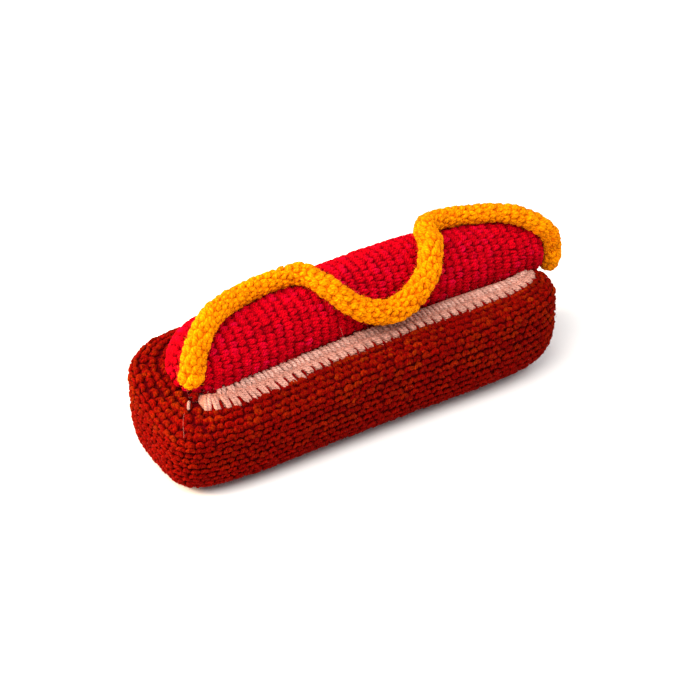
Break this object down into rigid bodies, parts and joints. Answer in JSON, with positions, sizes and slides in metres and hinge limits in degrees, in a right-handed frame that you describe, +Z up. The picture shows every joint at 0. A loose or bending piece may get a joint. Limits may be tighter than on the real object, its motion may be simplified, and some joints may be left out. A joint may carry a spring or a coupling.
{
  "type": "crocheted toy hot dog",
  "caption": "Stuffed crochet play food: a long brown bun with a cream inside, holding a red sausage with a yellow tube of mustard winding over it.",
  "frame": {"origin": "on the surface the toy lies on, under the middle of its bounding box", "axes": "+X along the bun and sausage, +Z up, the mustard's low bend and both its ends to the -Y side"},
  "size_m": [0.212, 0.0784, 0.0785],
  "materials": {
    "bun_yarn": "red-brown crochet yarn in single crochet rows, matt and slightly fuzzy",
    "inside_yarn": "pinkish cream crochet yarn, matt",
    "sausage_yarn": "bright red crochet yarn, matt and slightly fuzzy",
    "mustard_yarn": "golden yellow crochet yarn, matt and slightly fuzzy"
  },
  "bodies": {
    "root": {"bun": "bun_yarn", "bun_inside": "inside_yarn", "sausage": "sausage_yarn", "mustard": "mustard_yarn"}
  },
  "joints": []
}
